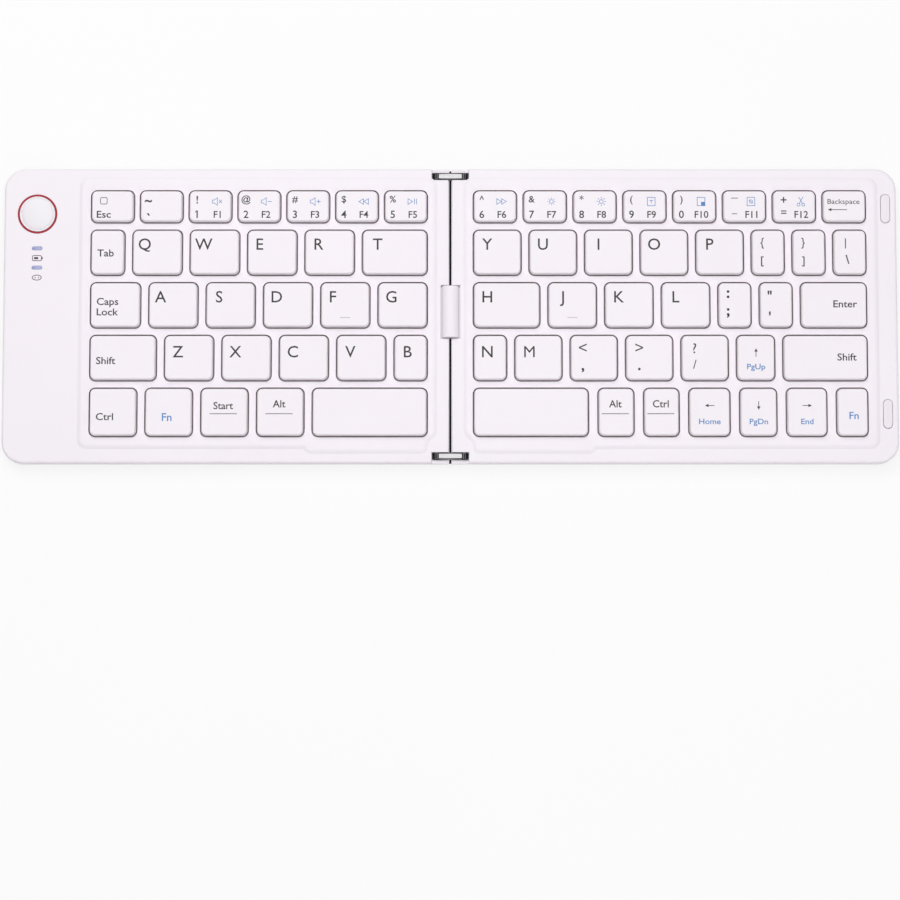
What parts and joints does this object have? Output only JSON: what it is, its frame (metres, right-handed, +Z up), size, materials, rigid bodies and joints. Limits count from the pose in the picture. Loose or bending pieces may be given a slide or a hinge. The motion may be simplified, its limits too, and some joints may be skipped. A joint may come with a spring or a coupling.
{
  "type": "folding keyboard",
  "caption": "Slim white keyboard in two halves that fold face to face about a double-axis spine, with square low keys and a round button in a red ring.",
  "frame": {"origin": "middle of the unfolded keyboard's box, in the plane that the rubber feet stand on", "axes": "+X to the right along the unfolded length, +Y to the back edge, +Z up"},
  "size_m": [0.298, 0.099, 0.0078],
  "materials": {
    "shell": "fine satin moulded plastic",
    "keycap": "smooth satin keycap plastic",
    "button": "polished domed plastic",
    "ring": "red translucent ring",
    "lights": "blue status windows",
    "pad": "soft silicone pad",
    "rubber": "matt silicone rubber",
    "steel": "bare steel",
    "bright_steel": "bright plated sheet",
    "dark_steel": "blackened steel",
    "board": "green circuit board",
    "membrane": "clear contact film",
    "pouch": "foil pouch",
    "ribbon": "amber flexible ribbon"
  },
  "bodies": {
    "left_half": {"left_bottom_shell": "shell", "left_top_shell": "shell", "left_key_plate": "steel", "left_membrane": "membrane", "left_domes": "rubber", "battery": "pouch", "main_board": "board", "charge_socket": "steel", "button_switch": "dark_steel", "button_ring": "ring", "status_lights": "lights", "left_feet": "rubber", "left_screws": "steel", "left_hinge_brackets": "dark_steel"},
    "spine": {"rear_link": "dark_steel", "front_link": "dark_steel", "rear_link_cap": "bright_steel", "front_link_cap": "bright_steel", "hinge_pins": "steel", "spine_bars": "dark_steel", "cable_barrel": "shell", "ribbon_cable": "ribbon"},
    "right_half": {"right_bottom_shell": "shell", "right_top_shell": "shell", "right_key_plate": "steel", "right_membrane": "membrane", "right_domes": "rubber", "right_feet": "rubber", "right_screws": "steel", "right_hinge_brackets": "dark_steel", "fold_pads": "pad"},
    "button": {"pairing_button": "button"},
    "key_number_left": {"key_number_left": "keycap"},
    "key_tab": {"key_tab": "keycap"},
    "key_letters_top_left": {"key_letters_top_left": "keycap"},
    "key_letter_t": {"key_letter_t": "keycap"},
    "key_caps": {"key_caps": "keycap"},
    "key_letters_home_left": {"key_letters_home_left": "keycap"},
    "key_shift_left": {"key_shift_left": "keycap"},
    "key_letters_low_left": {"key_letters_low_left": "keycap"},
    "key_letter_b": {"key_letter_b": "keycap"},
    "key_front_left": {"key_front_left": "keycap"},
    "key_space_left": {"key_space_left": "keycap"},
    "key_number_right": {"key_number_right": "keycap"},
    "key_backspace": {"key_backspace": "keycap"},
    "key_letters_top_right": {"key_letters_top_right": "keycap"},
    "key_brackets": {"key_brackets": "keycap"},
    "key_letter_h": {"key_letter_h": "keycap"},
    "key_letters_home_right": {"key_letters_home_right": "keycap"},
    "key_semicolons": {"key_semicolons": "keycap"},
    "key_enter": {"key_enter": "keycap"},
    "key_letter_n": {"key_letter_n": "keycap"},
    "key_letters_low_right": {"key_letters_low_right": "keycap"},
    "key_up": {"key_up": "keycap"},
    "key_shift_right": {"key_shift_right": "keycap"},
    "key_space_right": {"key_space_right": "keycap"},
    "key_alt_right": {"key_alt_right": "keycap"},
    "key_arrows": {"key_arrows": "keycap"},
    "key_fn_right": {"key_fn_right": "keycap"}
  },
  "joints": [
    {"name": "left_fold", "type": "hinge", "parent": "left_half", "child": "spine", "pos_m": [-0.0046, 0, 0.0043], "axis": [0, -1, 0], "range_deg": [0, 90]},
    {"name": "right_fold", "type": "hinge", "parent": "spine", "child": "right_half", "pos_m": [0.0046, 0, 0.0043], "axis": [0, -1, 0], "range_deg": [0, 90]},
    {"name": "button_press", "type": "slide", "parent": "left_half", "child": "button", "axis": [0, 0, -1], "range_m": [0, 0.0004], "stiffness_N_per_m": 1200, "springref_m": -0.0008},
    {"name": "key_number_left_press", "type": "slide", "parent": "left_half", "child": "key_number_left", "axis": [0, 0, -1], "range_m": [0, 0.0014], "stiffness_N_per_m": 2100, "springref_m": -0.0008, "deforming": ["left_domes"]},
    {"name": "key_tab_press", "type": "slide", "parent": "left_half", "child": "key_tab", "axis": [0, 0, -1], "range_m": [0, 0.0014], "stiffness_N_per_m": 300, "springref_m": -0.0008, "deforming": ["left_domes"]},
    {"name": "key_letters_top_left_press", "type": "slide", "parent": "left_half", "child": "key_letters_top_left", "axis": [0, 0, -1], "range_m": [0, 0.0014], "stiffness_N_per_m": 1200, "springref_m": -0.0008, "deforming": ["left_domes"]},
    {"name": "key_letter_t_press", "type": "slide", "parent": "left_half", "child": "key_letter_t", "axis": [0, 0, -1], "range_m": [0, 0.0014], "stiffness_N_per_m": 300, "springref_m": -0.0008, "deforming": ["left_domes"]},
    {"name": "key_caps_press", "type": "slide", "parent": "left_half", "child": "key_caps", "axis": [0, 0, -1], "range_m": [0, 0.0014], "stiffness_N_per_m": 300, "springref_m": -0.0008, "deforming": ["left_domes"]},
    {"name": "key_letters_home_left_press", "type": "slide", "parent": "left_half", "child": "key_letters_home_left", "axis": [0, 0, -1], "range_m": [0, 0.0014], "stiffness_N_per_m": 1500, "springref_m": -0.0008, "deforming": ["left_domes"]},
    {"name": "key_shift_left_press", "type": "slide", "parent": "left_half", "child": "key_shift_left", "axis": [0, 0, -1], "range_m": [0, 0.0014], "stiffness_N_per_m": 300, "springref_m": -0.0008, "deforming": ["left_domes"]},
    {"name": "key_letters_low_left_press", "type": "slide", "parent": "left_half", "child": "key_letters_low_left", "axis": [0, 0, -1], "range_m": [0, 0.0014], "stiffness_N_per_m": 1200, "springref_m": -0.0008, "deforming": ["left_domes"]},
    {"name": "key_letter_b_press", "type": "slide", "parent": "left_half", "child": "key_letter_b", "axis": [0, 0, -1], "range_m": [0, 0.0014], "stiffness_N_per_m": 300, "springref_m": -0.0008, "deforming": ["left_domes"]},
    {"name": "key_front_left_press", "type": "slide", "parent": "left_half", "child": "key_front_left", "axis": [0, 0, -1], "range_m": [0, 0.0014], "stiffness_N_per_m": 1200, "springref_m": -0.0008, "deforming": ["left_domes"]},
    {"name": "key_space_left_press", "type": "slide", "parent": "left_half", "child": "key_space_left", "axis": [0, 0, -1], "range_m": [0, 0.0014], "stiffness_N_per_m": 300, "springref_m": -0.0008, "deforming": ["left_domes"]},
    {"name": "key_number_right_press", "type": "slide", "parent": "right_half", "child": "key_number_right", "axis": [0, 0, -1], "range_m": [0, 0.0014], "stiffness_N_per_m": 2100, "springref_m": -0.0008, "deforming": ["right_domes"]},
    {"name": "key_backspace_press", "type": "slide", "parent": "right_half", "child": "key_backspace", "axis": [0, 0, -1], "range_m": [0, 0.0014], "stiffness_N_per_m": 300, "springref_m": -0.0008, "deforming": ["right_domes"]},
    {"name": "key_letters_top_right_press", "type": "slide", "parent": "right_half", "child": "key_letters_top_right", "axis": [0, 0, -1], "range_m": [0, 0.0014], "stiffness_N_per_m": 1500, "springref_m": -0.0008, "deforming": ["right_domes"]},
    {"name": "key_brackets_press", "type": "slide", "parent": "right_half", "child": "key_brackets", "axis": [0, 0, -1], "range_m": [0, 0.0014], "stiffness_N_per_m": 900, "springref_m": -0.0008, "deforming": ["right_domes"]},
    {"name": "key_letter_h_press", "type": "slide", "parent": "right_half", "child": "key_letter_h", "axis": [0, 0, -1], "range_m": [0, 0.0014], "stiffness_N_per_m": 300, "springref_m": -0.0008, "deforming": ["right_domes"]},
    {"name": "key_letters_home_right_press", "type": "slide", "parent": "right_half", "child": "key_letters_home_right", "axis": [0, 0, -1], "range_m": [0, 0.0014], "stiffness_N_per_m": 900, "springref_m": -0.0008, "deforming": ["right_domes"]},
    {"name": "key_semicolons_press", "type": "slide", "parent": "right_half", "child": "key_semicolons", "axis": [0, 0, -1], "range_m": [0, 0.0014], "stiffness_N_per_m": 600, "springref_m": -0.0008, "deforming": ["right_domes"]},
    {"name": "key_enter_press", "type": "slide", "parent": "right_half", "child": "key_enter", "axis": [0, 0, -1], "range_m": [0, 0.0014], "stiffness_N_per_m": 300, "springref_m": -0.0008, "deforming": ["right_domes"]},
    {"name": "key_letter_n_press", "type": "slide", "parent": "right_half", "child": "key_letter_n", "axis": [0, 0, -1], "range_m": [0, 0.0014], "stiffness_N_per_m": 300, "springref_m": -0.0008, "deforming": ["right_domes"]},
    {"name": "key_letters_low_right_press", "type": "slide", "parent": "right_half", "child": "key_letters_low_right", "axis": [0, 0, -1], "range_m": [0, 0.0014], "stiffness_N_per_m": 1200, "springref_m": -0.0008, "deforming": ["right_domes"]},
    {"name": "key_up_press", "type": "slide", "parent": "right_half", "child": "key_up", "axis": [0, 0, -1], "range_m": [0, 0.0014], "stiffness_N_per_m": 300, "springref_m": -0.0008, "deforming": ["right_domes"]},
    {"name": "key_shift_right_press", "type": "slide", "parent": "right_half", "child": "key_shift_right", "axis": [0, 0, -1], "range_m": [0, 0.0014], "stiffness_N_per_m": 300, "springref_m": -0.0008, "deforming": ["right_domes"]},
    {"name": "key_space_right_press", "type": "slide", "parent": "right_half", "child": "key_space_right", "axis": [0, 0, -1], "range_m": [0, 0.0014], "stiffness_N_per_m": 300, "springref_m": -0.0008, "deforming": ["right_domes"]},
    {"name": "key_alt_right_press", "type": "slide", "parent": "right_half", "child": "key_alt_right", "axis": [0, 0, -1], "range_m": [0, 0.0014], "stiffness_N_per_m": 600, "springref_m": -0.0008, "deforming": ["right_domes"]},
    {"name": "key_arrows_press", "type": "slide", "parent": "right_half", "child": "key_arrows", "axis": [0, 0, -1], "range_m": [0, 0.0014], "stiffness_N_per_m": 900, "springref_m": -0.0008, "deforming": ["right_domes"]},
    {"name": "key_fn_right_press", "type": "slide", "parent": "right_half", "child": "key_fn_right", "axis": [0, 0, -1], "range_m": [0, 0.0014], "stiffness_N_per_m": 300, "springref_m": -0.0008, "deforming": ["right_domes"]}
  ]
}
